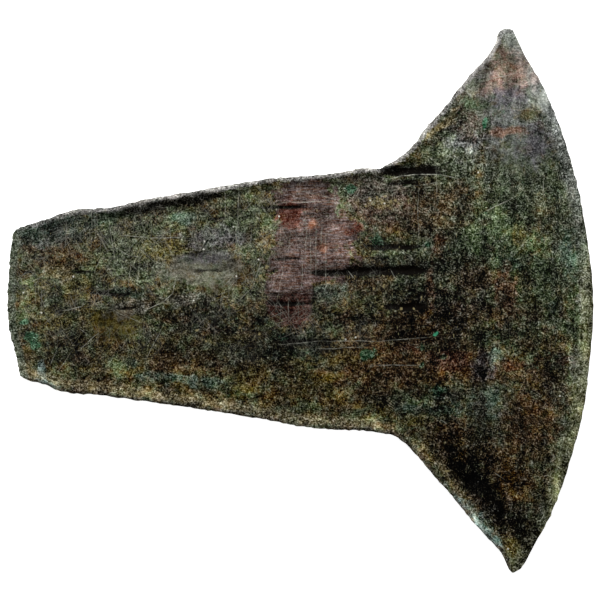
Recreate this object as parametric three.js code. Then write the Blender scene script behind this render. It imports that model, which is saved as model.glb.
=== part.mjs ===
// Hoe money: one thin sheet of hammered copper in the shape of a small hoe. A slightly waisted shank
// runs from the butt to the neck, where two horns spread into a wide crescent blade. The margins of
// the shank and of the horns are hammered up into a low rim, the blade thins to its edge, and the
// sheet lies face up on its flat back. Millimetres, +X from the butt to the blade edge, +Z up.

import * as THREE from 'three';
import { mergeVertices } from 'three/addons/utils/BufferGeometryUtils.js';

// Plan
const LENGTH = 140;
const BLADE_SPAN = 130;
const BUTT_WIDTH = 35.4;
const NECK_WIDTH = 63.4;
const SHANK_LENGTH = 89.1;
const BUTT_BOW = 3;
const BLADE_BOW = 18.45;
const BLADE_SKEW = 0.9;
const BUTT_SKEW = 0.1;
const UPPER_SHANK_BOW = 1.3;
const LOWER_SHANK_BOW = 1.2;
const UPPER_HORN_BOW = -1.6;
const LOWER_HORN_BOW = -2.2;

// Horn tips: the upper one is a round knob, the lower one is narrower and chipped on its blade side
const UPPER_TIP = { width: 4.62, slant: 31.3, bow: 1.45, drop: 0.5 };
const LOWER_TIP = { width: 3.28, slant: 13, bow: 1.2, drop: 0.95 };

// Thickness and relief
const BUTT_THICKNESS = 1.15;
const BLADE_THICKNESS = 0.8;
const EDGE_THICKNESS = 0.4;
const EDGE_BEVEL = 5;
const RIM_HEIGHT = 1.15;
const RIM_CREST = 0.6;
const RIM_SLOPE = 1.5;
const RIM_ROUNDING = 0.3;
const RIM_RUNOUT = 9;
const RIM_START = 3;
const TROUGH_DEPTH = 0.2;
const TROUGH_WIDTH = 4;
const BUTT_LIP_HEIGHT = 0.3;
const BUTT_LIP_WIDTH = 1.8;

// How far the hammered sheet springs off the surface it lies on, past a flat middle
const TIP_LIFT = 1.3;
const TIP_LIFT_FROM = 26;
const BUTT_LIFT = 0.5;
const BUTT_LIFT_LENGTH = 34;

// Shallow hollows left by the hammer, from the butt and from the centreline
const HOLLOWS = [
  { x: 36, y: 2, length: 30, width: 6, depth: 0.16 },
  { x: 66, y: 21, length: 11, width: 3.5, depth: 0.16 },
  { x: 86, y: 7, length: 14, width: 3, depth: 0.26 },
  { x: 94, y: 26, length: 9, width: 3, depth: 0.28 },
  { x: 97, y: -9, length: 9, width: 3.5, depth: 0.2 },
  { x: 62, y: -15, length: 16, width: 4, depth: 0.14 },
  { x: 116, y: -30, length: 12, width: 7, depth: 0.14 },
  { x: 120, y: 22, length: 10, width: 8, depth: 0.12 },
];

// Wear of each side as [share of the side, distance proud of its plain arc]
const UPPER_SHANK_WEAR = [
  [0, 0], [0.03, 0.15], [0.07, 0.45], [0.11, 0.95], [0.155, 1.27], [0.2, 0.7], [0.26, 0.05],
  [0.34, 0.42], [0.5, 0.42], [0.7, 0.65], [0.8, 0.1], [0.9, 0], [0.965, 0.45], [1, 0],
];
const LOWER_SHANK_WEAR = [
  [0, 0], [0.02, 0.8], [0.06, 0.93], [0.13, 1.85], [0.165, 1.6], [0.21, 0.95], [0.3, 0.6],
  [0.42, 0.12], [0.6, 0], [0.7, 0.24], [0.8, 0.6], [0.88, 0.4], [0.94, -0.22], [0.97, 0.1], [1, 0],
];
const UPPER_HORN_WEAR = [
  [0, 0], [0.03, -0.4], [0.1, -0.84], [0.2, -1.02], [0.28, -0.58], [0.36, -0.08], [0.5, -0.03],
  [0.63, 0.38], [0.76, 0.34], [0.88, -0.36], [0.96, -0.26], [1, 0],
];
const LOWER_HORN_WEAR = [
  [0, 0], [0.025, -0.75], [0.06, -1.37], [0.12, -1.52], [0.2, -1.2], [0.3, -0.55], [0.42, 0.1],
  [0.55, 0.24], [0.65, 0.5], [0.75, 0.42], [0.85, -0.1], [0.94, -0.49], [1, 0],
];
const BLADE_WEAR = [
  [0, 0], [0.01, 0.16], [0.04, 0.05], [0.08, 0.4], [0.13, 0.48], [0.2, 0.2], [0.3, 0.2],
  [0.38, -0.18], [0.5, -0.02], [0.6, -0.4], [0.7, -0.36], [0.8, -0.28], [0.91, -0.33],
  [0.95, -0.74], [0.98, -0.38], [1, 0],
];
const BUTT_WEAR = [
  [0, 0], [0.04, -0.1], [0.1, -0.4], [0.16, -0.35], [0.28, 0], [0.5, 0.03], [0.7, 0.15],
  [0.8, 0.52], [0.9, 0.86], [0.97, 1.05], [0.99, 0.4], [1, 0],
];
const LOWER_TIP_WEAR = [[0, 0], [0.16, -0.13], [0.36, 0.02], [0.56, 0.12], [0.76, -0.33], [1, 0]];
const PLAIN = [[0, 0], [0.5, 0], [1, 0]];

// The grid of the sheet: stations along each stretch of its sides, and lines across
const SHANK_STATIONS = 26;
const HORN_STATIONS = 14;
const TIP_STATIONS = 6;
const BUTT_CROWDING = 1.35;
const BUTT_BOW_STATIONS = 9;
const MIDDLE_LINES = 17;
const RIM_LINES = [
  0,
  RIM_CREST / 2,
  RIM_CREST,
  RIM_CREST + RIM_SLOPE / 2,
  RIM_CREST + RIM_SLOPE,
  RIM_CREST + RIM_SLOPE + TROUGH_WIDTH / 4,
  RIM_CREST + RIM_SLOPE + TROUGH_WIDTH / 2,
  RIM_CREST + RIM_SLOPE + TROUGH_WIDTH,
];
const STATIONS = SHANK_STATIONS + HORN_STATIONS + TIP_STATIONS;
const RIM_STEPS = RIM_LINES.length - 1;
const LINES = 2 * RIM_STEPS + MIDDLE_LINES;
const HALVINGS = 24;

const COPPER = new THREE.MeshStandardMaterial({ color: 0x42412f, roughness: 0.62, metalness: 0.35 });

// Plan curves

const clamp = THREE.MathUtils.clamp;
const lerp = THREE.MathUtils.lerp;
const plan = (x, y) => new THREE.Vector3(x, y, 0);

// Rises smoothly from 0 to 1 as x goes from 0 to 1
const rise = (x) => 0.5 - 0.5 * Math.cos(Math.PI * clamp(x, 0, 1));

// Height of a circular arc over its chord, at a share of the chord
function arcHeight(share, chord, bow) {
  if (bow === 0) return 0;
  const sagitta = Math.abs(bow);
  const radius = (chord * chord / 4 + sagitta * sagitta) / (2 * sagitta);
  const across = (share - 0.5) * chord;
  return Math.sign(bow) * (Math.sqrt(radius * radius - across * across) - radius + sagitta);
}

// A side from one corner to the next: a circular arc, and its wear. A bow stands out to the left.
function side(from, to, bow, wear) {
  const along = to.clone().sub(from);
  const chord = along.length();
  const outwards = plan(-along.y, along.x).normalize();
  const shares = wear.map((stop) => stop[0]);
  const offsets = wear.map((stop) => stop[1]);
  const worn = new THREE.CubicInterpolant(shares, offsets, 1);
  return (share) => {
    const out = arcHeight(share, chord, bow) + worn.evaluate(share)[0];
    return from.clone().addScaledVector(along, share).addScaledVector(outwards, out);
  };
}

const mirrorWear = (wear) => wear.map(([share, offset]) => [share, -offset]);

// Corners

const tipX = LENGTH - BLADE_BOW;
const buttX = BUTT_BOW;
const upperButt = plan(buttX + BUTT_SKEW / 2, BUTT_WIDTH / 2 - BUTT_SKEW);
const lowerButt = plan(buttX, -BUTT_WIDTH / 2 - BUTT_SKEW);
const upperNeck = plan(SHANK_LENGTH, NECK_WIDTH / 2);
const lowerNeck = plan(SHANK_LENGTH, -NECK_WIDTH / 2);
const upperTip = plan(tipX - BLADE_SKEW, BLADE_SPAN / 2 - UPPER_TIP.drop);
const lowerTip = plan(tipX + BLADE_SKEW, -BLADE_SPAN / 2 + LOWER_TIP.drop);

// Where a horn's inner side ends and its rounded tip begins
function hornEnd(tip, size, up) {
  const slant = THREE.MathUtils.degToRad(size.slant);
  return tip.clone().sub(plan(Math.cos(slant) * size.width, up * Math.sin(slant) * size.width));
}

const upperHornEnd = hornEnd(upperTip, UPPER_TIP, 1);
const lowerHornEnd = hornEnd(lowerTip, LOWER_TIP, -1);

// Rails: the two long sides as points, one for each station

function rail(legs) {
  const points = [];
  for (const { curve, stations, crowding } of legs) {
    for (let k = 0; k < stations; k += 1) points.push(curve((k / stations) ** crowding));
  }
  points.push(legs[legs.length - 1].curve(1));
  return points;
}

const upperRail = rail([
  { curve: side(upperButt, upperNeck, UPPER_SHANK_BOW, UPPER_SHANK_WEAR),
    stations: SHANK_STATIONS, crowding: BUTT_CROWDING },
  { curve: side(upperNeck, upperHornEnd, UPPER_HORN_BOW, UPPER_HORN_WEAR),
    stations: HORN_STATIONS, crowding: 1 },
  { curve: side(upperHornEnd, upperTip, UPPER_TIP.bow, PLAIN), stations: TIP_STATIONS, crowding: 1 },
]);

// The lower sides run the same way, so what stands out of them is on their right
const lowerRail = rail([
  { curve: side(lowerButt, lowerNeck, -LOWER_SHANK_BOW, mirrorWear(LOWER_SHANK_WEAR)),
    stations: SHANK_STATIONS, crowding: BUTT_CROWDING },
  { curve: side(lowerNeck, lowerHornEnd, -LOWER_HORN_BOW, mirrorWear(LOWER_HORN_WEAR)),
    stations: HORN_STATIONS, crowding: 1 },
  { curve: side(lowerHornEnd, lowerTip, -LOWER_TIP.bow, mirrorWear(LOWER_TIP_WEAR)),
    stations: TIP_STATIONS, crowding: 1 },
]);

// Ribs: lines across the sheet, bowed as the butt at one end and as the blade edge at the other

const buttEdge = side(lowerButt, upperButt, BUTT_BOW, BUTT_WEAR);
const bladeEdge = side(lowerTip, upperTip, -BLADE_BOW, mirrorWear(BLADE_WEAR));

function bulge(edge, share) {
  return edge(share).sub(edge(0).lerp(edge(1), share));
}

function ribPoint(station, share) {
  const buttShare = clamp(1 - station / BUTT_BOW_STATIONS, 0, 1) ** 2;
  const bladeShare = clamp((station - SHANK_STATIONS) / (STATIONS - SHANK_STATIONS), 0, 1);
  return lowerRail[station].clone().lerp(upperRail[station], share)
    .addScaledVector(bulge(buttEdge, share), buttShare)
    .addScaledVector(bulge(bladeEdge, share), bladeShare);
}

// Distances in plan

const segment = new THREE.Line3();
const nearest = new THREE.Vector3();

function distanceTo(points, point) {
  let closest = Infinity;
  for (let k = 1; k < points.length; k += 1) {
    segment.set(points[k - 1], points[k]).closestPointToPoint(point, true, nearest);
    closest = Math.min(closest, nearest.distanceTo(point));
  }
  return closest;
}

// Share of a rib at which it is a given distance inside a rail, found by halving
function shareInside(station, points, distance, fromUpper) {
  let near = 0;
  let far = 0.5;
  for (let k = 0; k < HALVINGS; k += 1) {
    const middle = (near + far) / 2;
    const point = ribPoint(station, fromUpper ? 1 - middle : middle);
    if (distanceTo(points, point) < distance) near = middle;
    else far = middle;
  }
  return distance === 0 ? 0 : far;
}

// Shares of one rib at which the lines cross it: close together under the rims, even between them
function ribShares(station) {
  const low = RIM_LINES.map((distance) => shareInside(station, lowerRail, distance, false));
  const high = RIM_LINES.map((distance) => 1 - shareInside(station, upperRail, distance, true));
  const middle = [];
  for (let k = 1; k < MIDDLE_LINES; k += 1) {
    middle.push(lerp(low[RIM_STEPS], high[RIM_STEPS], k / MIDDLE_LINES));
  }
  return [...low, ...middle, ...high.reverse()];
}

// Heights

const bladeLine = Array.from({ length: LINES + 1 }, (_, k) => bladeEdge(k / LINES));
const buttLine = Array.from({ length: LINES + 1 }, (_, k) => buttEdge(k / LINES));

function rimRelief(distance) {
  const rounding = RIM_ROUNDING * clamp(1 - distance / RIM_CREST, 0, 1);
  return (RIM_HEIGHT - rounding) * (1 - rise((distance - RIM_CREST) / RIM_SLOPE));
}

function troughRelief(distance) {
  const across = clamp((distance - RIM_CREST - RIM_SLOPE / 2) / TROUGH_WIDTH, 0, 1);
  return -TROUGH_DEPTH * Math.sin(Math.PI * across) ** 2;
}

function hollowRelief(point) {
  return HOLLOWS.reduce((sum, hollow) => {
    const along = (point.x - hollow.x) / hollow.length;
    const across = (point.y - hollow.y) / hollow.width;
    return sum - hollow.depth * Math.exp(-(along * along + across * across));
  }, 0);
}

function liftOff(point) {
  const tips = (Math.abs(point.y) - TIP_LIFT_FROM) / (BLADE_SPAN / 2 - TIP_LIFT_FROM);
  const butt = (BUTT_LIFT_LENGTH - point.x) / BUTT_LIFT_LENGTH;
  return TIP_LIFT * clamp(tips, 0, 1) ** 2 + BUTT_LIFT * clamp(butt, 0, 1) ** 2;
}

function faceHeight(point) {
  const fromBlade = distanceTo(bladeLine, point);
  const fromButt = distanceTo(buttLine, point);
  const fromRim = Math.min(distanceTo(upperRail, point), distanceTo(lowerRail, point));
  const sheet = lerp(BUTT_THICKNESS, BLADE_THICKNESS, point.x / LENGTH);
  const bevelled = lerp(EDGE_THICKNESS, sheet + hollowRelief(point), rise(fromBlade / EDGE_BEVEL));
  const runout = rise(Math.min(fromBlade, fromButt + RIM_START) / RIM_RUNOUT);
  const margin = runout * (rimRelief(fromRim) + troughRelief(fromRim));
  const lip = BUTT_LIP_HEIGHT * (1 - rise(fromButt / BUTT_LIP_WIDTH));
  return bevelled + margin + lip;
}

// The sheet: a box one cell thick, its grid laid over the plan and its upper side carved

function hammeredSheet() {
  const box = new THREE.BoxGeometry(1, 1, 1, STATIONS, LINES, 1);
  box.deleteAttribute('normal');
  box.deleteAttribute('uv');
  const sheet = mergeVertices(box);
  const shares = upperRail.map((_, station) => ribShares(station));
  const place = sheet.getAttribute('position');
  for (let k = 0; k < place.count; k += 1) {
    const station = Math.round((place.getX(k) + 0.5) * STATIONS);
    const line = Math.round((place.getY(k) + 0.5) * LINES);
    const point = ribPoint(station, shares[station][line]);
    const back = liftOff(point);
    const height = place.getZ(k) > 0 ? back + faceHeight(point) : back;
    place.setXYZ(k, point.x - LENGTH / 2, point.y, height);
  }
  sheet.computeVertexNormals();
  return sheet;
}

const hoeMoney = new THREE.Mesh(hammeredSheet(), COPPER);
hoeMoney.name = 'hoe_money';

const group = new THREE.Group();
group.add(hoeMoney);

export default group;
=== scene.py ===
# %% [markdown]
# # Hoe money
# A thin sheet of hammered copper in the shape of a small hoe, dug up after centuries in the ground. It
# lies on its flat back, and the camera looks straight down on it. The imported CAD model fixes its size
# and its outline. This script gives it the finer relief and the patina that the solid leaves out.

# %% Load the frame
import math

import bmesh
import bpy
import numpy as np
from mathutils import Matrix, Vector, noise


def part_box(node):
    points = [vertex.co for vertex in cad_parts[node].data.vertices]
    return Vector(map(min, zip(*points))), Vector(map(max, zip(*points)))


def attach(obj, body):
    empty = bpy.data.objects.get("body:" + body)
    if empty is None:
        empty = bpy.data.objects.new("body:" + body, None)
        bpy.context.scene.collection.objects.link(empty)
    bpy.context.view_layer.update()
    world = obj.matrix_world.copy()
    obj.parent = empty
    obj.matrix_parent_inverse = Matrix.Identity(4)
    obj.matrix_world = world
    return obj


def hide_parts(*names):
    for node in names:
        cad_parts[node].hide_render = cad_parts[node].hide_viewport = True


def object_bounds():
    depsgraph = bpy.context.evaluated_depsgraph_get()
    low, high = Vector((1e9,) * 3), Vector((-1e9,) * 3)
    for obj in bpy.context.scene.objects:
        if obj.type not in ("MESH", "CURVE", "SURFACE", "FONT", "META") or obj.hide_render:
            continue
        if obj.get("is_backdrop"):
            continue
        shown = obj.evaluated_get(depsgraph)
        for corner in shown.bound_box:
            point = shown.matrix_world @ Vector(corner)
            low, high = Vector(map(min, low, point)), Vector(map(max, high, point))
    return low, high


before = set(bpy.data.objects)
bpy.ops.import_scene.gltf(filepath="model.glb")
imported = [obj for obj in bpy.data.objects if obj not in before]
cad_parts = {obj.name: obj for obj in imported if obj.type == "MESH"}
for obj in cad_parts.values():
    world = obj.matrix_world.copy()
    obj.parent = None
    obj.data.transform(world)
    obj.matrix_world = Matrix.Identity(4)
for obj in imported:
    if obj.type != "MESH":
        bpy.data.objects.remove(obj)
cad_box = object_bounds()
MM = 0.001
low, high = (np.array(corner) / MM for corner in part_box("hoe_money"))
LENGTH, SPAN, HEIGHT = high - low
print(f"the solid is {LENGTH:.2f} x {SPAN:.2f} x {HEIGHT:.2f} mm")

# %% [markdown]
# ## Camera
# The photograph was taken from straight above through a long lens, so both faces of a thin sheet show
# the same outline and no side wall. The camera's height follows from the lens and from how many
# millimetres the photograph's frame is wide where the sheet's face lies.

# %% Camera
PHOTO_PIXELS = 600
OBJECT_PIXELS = 586.3
OBJECT_CENTRE_PIXEL = (300.8, 300.5)
LENS, SENSOR = 135, 36
FACE_HEIGHT = 1.2

pixel = LENGTH / OBJECT_PIXELS
camera_x = (PHOTO_PIXELS / 2 - OBJECT_CENTRE_PIXEL[0]) * pixel
camera_y = (OBJECT_CENTRE_PIXEL[1] - PHOTO_PIXELS / 2) * pixel
camera_z = PHOTO_PIXELS * pixel * LENS / SENSOR + FACE_HEIGHT

bpy.ops.object.select_all(action="DESELECT")
bpy.ops.object.camera_add(location=[place * MM for place in (camera_x, camera_y, camera_z)])
camera = bpy.context.object
camera.name = "camera"
camera.rotation_euler = (0, 0, 0)
camera.data.lens, camera.data.sensor_width = LENS, SENSOR
bpy.context.scene.camera = camera
bpy.context.scene.view_settings.view_transform = "Standard"
print(f"one pixel is {pixel:.4f} mm, the camera is {camera_z:.0f} mm up")

# %% [markdown]
# ## Light and floor
# A large soft lamp stands beyond the upper side of the sheet, because in the photograph each ridge is
# light on that side and dark on the other. The floor is white and shines a little by itself, so that it
# stays white and takes only a faint shadow. The sky is bright near the horizon, behind the floor in the
# low views, and dark overhead, where a bright sky would lay a grey veil over the dark patina.

# %% Light, floor and sky
LAMP_PLACE = Vector((-0.12, 0.44, 0.36))
LAMP_SIZE = 0.24
LAMP_WATTS = 5.6
FLOOR_SIZE = 60.0
FLOOR_GLOW = 1.0
SKY_LOW, SKY_HIGH = 1.0, 0.06
SKY_TURN = 0.2

bpy.ops.object.light_add(type="AREA", location=LAMP_PLACE)
lamp = bpy.context.object
lamp.name = "lamp"
lamp.data.size, lamp.data.energy = LAMP_SIZE, LAMP_WATTS
lamp.rotation_euler = (-LAMP_PLACE).to_track_quat("-Z", "Y").to_euler()

bpy.ops.mesh.primitive_plane_add(size=FLOOR_SIZE)
floor = bpy.context.object
floor.name = "floor"
floor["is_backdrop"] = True
white = bpy.data.materials.new("white_board")
white.use_nodes = True
board = white.node_tree.nodes["Principled BSDF"]
board.inputs["Base Color"].default_value = (0.8, 0.8, 0.8, 1)
board.inputs["Roughness"].default_value = 0.9
board.inputs["Specular IOR Level"].default_value = 0.1
board.inputs["Emission Color"].default_value = (1, 1, 1, 1)
board.inputs["Emission Strength"].default_value = FLOOR_GLOW
floor.data.materials.append(white)

world = bpy.data.worlds.new("sky")
bpy.context.scene.world = world
world.use_nodes = True
sky = world.node_tree
direction = sky.nodes.new("ShaderNodeTexCoord")
parts = sky.nodes.new("ShaderNodeSeparateXYZ")
shade = sky.nodes.new("ShaderNodeMapRange")
shade.inputs["From Max"].default_value = SKY_TURN
shade.inputs["To Min"].default_value, shade.inputs["To Max"].default_value = SKY_LOW, SKY_HIGH
sky.links.new(direction.outputs["Generated"], parts.inputs[0])
sky.links.new(parts.outputs["Z"], shade.inputs["Value"])
sky.links.new(shade.outputs[0], sky.nodes["Background"].inputs["Strength"])
sky.nodes["Background"].inputs["Color"].default_value = (1, 1, 1, 1)
print(f"lamp of {LAMP_WATTS} W, {math.degrees(math.asin(LAMP_PLACE.normalized().z)):.0f} degrees up")

# %% [markdown]
# ## The outline
# The new sheet has to keep the solid's outline, so the outline is read from the CAD node. That mesh is
# loose triangles, so a copy of it is merged first. The edge of the face is where a face that looks up
# meets an upright wall. Walking from edge to edge puts it in order, and four corners part it into the
# two long sides, the butt and the blade edge.

# %% Read the outline from the solid
CORNERS = {
    "lower_butt": (-67.0, -17.8),
    "upper_butt": (-66.9, 17.6),
    "upper_tip": (50.7, 64.5),
    "lower_tip": (52.5, -64.0),
}
FACING_UP = 0.5
UPRIGHT = 0.3


def face_outline(mesh):
    """The edge of the mesh's upper face as ordered plan points in millimetres."""
    copy = bmesh.new()
    copy.from_mesh(mesh)
    bmesh.ops.remove_doubles(copy, verts=copy.verts, dist=0.001 * MM)
    copy.normal_update()
    neighbours = {}
    for edge in copy.edges:
        slopes = sorted(face.normal.z for face in edge.link_faces)
        if abs(slopes[0]) < UPRIGHT and slopes[-1] > FACING_UP:
            first, second = edge.verts
            neighbours.setdefault(first, []).append(second)
            neighbours.setdefault(second, []).append(first)
    loop = [next(iter(neighbours))]
    loop.append(neighbours[loop[0]][0])
    while loop[-1] is not loop[0]:
        ahead = neighbours[loop[-1]]
        loop.append(ahead[0] if ahead[1] is loop[-2] else ahead[1])
    points = np.array([vertex.co.xy[:] for vertex in loop[:-1]]) / MM
    copy.free()
    return points


def side_between(loop, start, end):
    """The stretch of the loop from one corner to the next."""
    first, last = (int(np.argmin(np.hypot(*(loop - CORNERS[name]).T))) for name in (start, end))
    others = [CORNERS[name] for name in CORNERS if name not in (start, end)]
    ahead = np.roll(loop, -first, axis=0)[: (last - first) % len(loop) + 1]
    nearest = min(np.hypot(*(ahead - other).T).min() for other in others)
    if nearest > 1:
        return ahead
    return np.roll(loop, -last, axis=0)[: (first - last) % len(loop) + 1][::-1]


outline = face_outline(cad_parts["hoe_money"].data)
upper_points = side_between(outline, "upper_butt", "upper_tip")
lower_points = side_between(outline, "lower_butt", "lower_tip")
butt_points = side_between(outline, "lower_butt", "upper_butt")
blade_points = side_between(outline, "lower_tip", "upper_tip")
sides = (upper_points, lower_points, butt_points, blade_points)
print("outline points:", len(outline), "in sides of", [len(side) for side in sides])

# %% [markdown]
# ## Smooth sides
# The solid's sides are short straight stretches. A smooth curve through the same points hides the
# joints. The tangents are weighted by the distance to each neighbour, because the points crowd together
# at the horn tips and an even weighting would make loops there.

# %% Curves through the outline
def smooth_curve(points, stops):
    """A curve through the points that passes each of them at its stop."""
    step = np.diff(stops)[:, None]
    slope = np.diff(points, axis=0) / step
    inner = (slope[:-1] * step[1:] + slope[1:] * step[:-1]) / (step[:-1] + step[1:])
    tangent = np.vstack([slope[:1], inner, slope[-1:]])

    def at(stop):
        k = np.clip(np.searchsorted(stops, stop, side="right") - 1, 0, len(step) - 1)
        wide = step[k]
        t = (np.clip(stop, stops[0], stops[-1]) - stops[k])[:, None] / wide
        return (
            points[k] * (1 + 2 * t) * (1 - t) ** 2 + points[k + 1] * t * t * (3 - 2 * t)
            + tangent[k] * wide * t * (1 - t) ** 2 - tangent[k + 1] * wide * t * t * (1 - t)
        )

    return at


def rail_curve(points):
    """A long side, by the share of its stations, which pair it with the other long side."""
    length = np.concatenate([[0], np.cumsum(np.hypot(*np.diff(points, axis=0).T))])
    curve = smooth_curve(points, length)
    return lambda share: curve(np.interp(share * (len(points) - 1), np.arange(len(points)), length))


def chord_curve(points):
    """An end of the sheet, by the share of the straight line between its corners."""
    chord = points[-1] - points[0]
    curve = smooth_curve(points, (points - points[0]) @ chord / (chord @ chord))
    ends = curve(np.array([0.0, 1.0]))

    def bulge(share):
        across = share[:, None]
        return curve(share) - ends[0] * (1 - across) - ends[1] * across

    return curve, bulge


upper_rail, lower_rail = rail_curve(upper_points), rail_curve(lower_points)
butt_edge, butt_bulge = chord_curve(butt_points)
blade_edge, blade_bulge = chord_curve(blade_points)

# %% [markdown]
# ## Ribs
# Lines from one long side to the other, like the ribs of a fan, lay the mesh over the plan. Near the
# butt they are bowed as the butt is, and past the neck they bow more and more like the blade edge. The
# stations are spread evenly along the middle, so the faces are of nearly the same size everywhere.

# %% Ribs over the plan
NECK_SHARE = 26 / 46
BUTT_BOW_SHARE = 9 / 46


def rib_point(station, across):
    """A plan point, by its share along the long sides and its share across, from the lower side."""
    butt_share = np.clip(1 - station / BUTT_BOW_SHARE, 0, 1)[:, None] ** 2
    blade_share = np.clip((station - NECK_SHARE) / (1 - NECK_SHARE), 0, 1)[:, None]
    side = across[:, None]
    return (
        lower_rail(station) * (1 - side) + upper_rail(station) * side
        + butt_bulge(across) * butt_share + blade_bulge(across) * blade_share
    )


STATION_TABLE = np.linspace(0, 1, 400)
middle_x = rib_point(STATION_TABLE, np.full(400, 0.5))[:, 0]


def even_station(share):
    """The station at a share of the way along the middle of the sheet."""
    return np.interp(middle_x[0] + share * (middle_x[-1] - middle_x[0]), middle_x, STATION_TABLE)


print(f"the middle line runs from x = {middle_x[0]:.1f} to {middle_x[-1]:.1f} mm")

# %% [markdown]
# ## The blank
# The sheet could be the solid itself with a bump map, but its relief would then vanish in a low view.
# It is a flat grid instead, extruded twice to a thin slab and closed all round. The upper face alone is
# subdivided once more, because it carries the fine relief and the back does not need it.

# %% The blank: a grid, extruded to a slab
COLUMNS, ROWS = 170, 112

bpy.ops.object.select_all(action="DESELECT")
bpy.ops.mesh.primitive_grid_add(x_subdivisions=COLUMNS, y_subdivisions=ROWS, size=1)
sheet = bpy.context.object
sheet.name = "hammered_sheet"
bpy.ops.object.mode_set(mode="EDIT")
bpy.ops.mesh.select_all(action="SELECT")
bpy.ops.mesh.extrude_region_move(TRANSFORM_OT_translate={"value": (0, 0, 0.5)})
bpy.ops.mesh.extrude_region_move(TRANSFORM_OT_translate={"value": (0, 0, 0.5)})
bpy.ops.mesh.subdivide(number_cuts=1)
bpy.ops.mesh.select_all(action="SELECT")
bpy.ops.mesh.normals_make_consistent(inside=False)
bpy.ops.object.mode_set(mode="OBJECT")

count = len(sheet.data.vertices)
blank = np.empty(count * 3)
sheet.data.vertices.foreach_get("co", blank)
along, across, level = blank.reshape(-1, 3).T + np.array([[0.5], [0.5], [0.0]])
triangles = sum(len(face.vertices) - 2 for face in sheet.data.polygons)
print(f"blank of {count} vertices, {triangles} triangles")

# %% [markdown]
# ## Laying the blank over the plan
# Every vertex keeps its share along and across, and moves to that place on the ribs. The top and bottom
# edges draw in a little from the middle of the wall, which rounds the rim as wear does. The outline
# also gets small nicks, which fade out inside the edge and on the rounded horn tips.

# %% Lay the blank over the plan
EDGE_ROUNDING = 0.14
SIDE_CROWDING = 0.3
NICK_DEPTH = 0.22
NICK_SIZE = 1.2
NICK_REACH = 0.8
NICK_FADE_FROM, NICK_FADE, NICK_FADE_SHARE = 54.0, 6.0, 0.85
EDGE_POINTS = 161


def clouds(place, size, octaves=2, seed=0, stretch=1.0):
    """Smooth noise of a size in millimetres, about -1 to 1. Stretch draws it out along X."""
    return np.array([
        noise.fractal(Vector((x / size / stretch, y / size, seed * 7.31)), 0.6, 2.0, octaves)
        for x, y in place
    ])


def distance_to(curve_points, place):
    """Distance in plan from each place to a line of points."""
    nearest = np.full(len(place), np.inf)
    for start, end in zip(curve_points[:-1], curve_points[1:]):
        way = end - start
        share = np.clip((place - start) @ way / (way @ way), 0, 1)
        nearest = np.minimum(nearest, np.hypot(*(place - start - share[:, None] * way).T))
    return nearest


station = even_station(along)
width = np.hypot(*(upper_rail(station) - lower_rail(station)).T)
share = across - SIDE_CROWDING * np.sin(2 * np.pi * across) / (2 * np.pi)
drawn_in = np.where(level == 0.5, 0, EDGE_ROUNDING)
station = even_station(np.clip(along, drawn_in / LENGTH, 1 - drawn_in / LENGTH))
share = np.clip(share, drawn_in / width, 1 - drawn_in / width)
plan = rib_point(station, share)

even = np.linspace(0, 1, EDGE_POINTS)
from_rim = np.minimum(
    distance_to(upper_rail(even), plan), distance_to(lower_rail(even), plan)
)
from_blade = distance_to(blade_edge(even), plan)
from_butt = distance_to(butt_edge(even), plan)
from_edge = np.minimum(np.minimum(from_rim, from_blade), from_butt)
at_tips = np.clip((np.abs(plan[:, 1]) - NICK_FADE_FROM) / NICK_FADE, 0, 1)
nick = NICK_DEPTH * (1 - NICK_FADE_SHARE * at_tips) * np.exp(-from_edge / NICK_REACH)
plan = plan + nick[:, None] * np.stack(
    [clouds(plan, NICK_SIZE, 3, seed) for seed in (1, 2)], axis=1
)
print(f"plan laid out, nicks up to {nick.max():.2f} mm")

# %% [markdown]
# ## Hammered relief
# The broad forms are the solid's own: a sheet that thins to the blade edge, a rim hammered up along the
# long sides, a shallow trough inside it, hollows, and a slight spring of the tips and the butt. The
# finer ones come from how the sheet was made and what the ground did to it: drawn-out hammer marks
# along the shank, rounder dents in the blade, a crust, and a few long creases where metal folded over.

# %% Broad forms, as in the solid
BUTT_THICKNESS, BLADE_THICKNESS = 1.15, 0.8
EDGE_THICKNESS, EDGE_BEVEL = 0.4, 5.0
RIM_HEIGHT, RIM_CREST, RIM_SLOPE, RIM_ROUNDING = 1.15, 0.6, 2.4, 0.3
RIM_RUNOUT, RIM_START = 9.0, 3.0
TROUGH_DEPTH, TROUGH_WIDTH = 0.2, 4.0
LIP_HEIGHT, LIP_WIDTH = 0.3, 1.8
TIP_LIFT, TIP_LIFT_FROM = 1.3, 26.0
BUTT_LIFT, BUTT_LIFT_LENGTH = 0.5, 34.0

# Hollows as x, y, half length, half width and depth
HOLLOWS = [
    (-34, 2, 30, 6, 0.16), (-4, 21, 11, 3.5, 0.16), (16, 7, 14, 3, 0.26), (24, 26, 9, 3, 0.28),
    (27, -9, 9, 3.5, 0.2), (-8, -15, 16, 4, 0.14), (46, -30, 12, 7, 0.14), (50, 22, 10, 8, 0.12),
]
RIM_UNEVENNESS = 0.3
CREST_UNEVENNESS = 0.45

# How much of the rim's height is left on each long side, by x
UPPER_RIM = [
    (-68, 0.3), (-50, 0.35), (-42, 0.9), (-26, 0.9), (-16, 0.45),
    (10, 0.4), (17, 0.75), (23, 0.6), (31, 0.2), (50, 0.1),
]
LOWER_RIM = [(-68, 0.7), (-50, 1.0), (10, 0.9), (25, 0.9), (50, 0.8)]

x, y = plan.T


def rise(value):
    """From 0 to 1 and smooth at both ends as the value goes from 0 to 1."""
    return 0.5 - 0.5 * np.cos(np.pi * np.clip(value, 0, 1))


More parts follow.
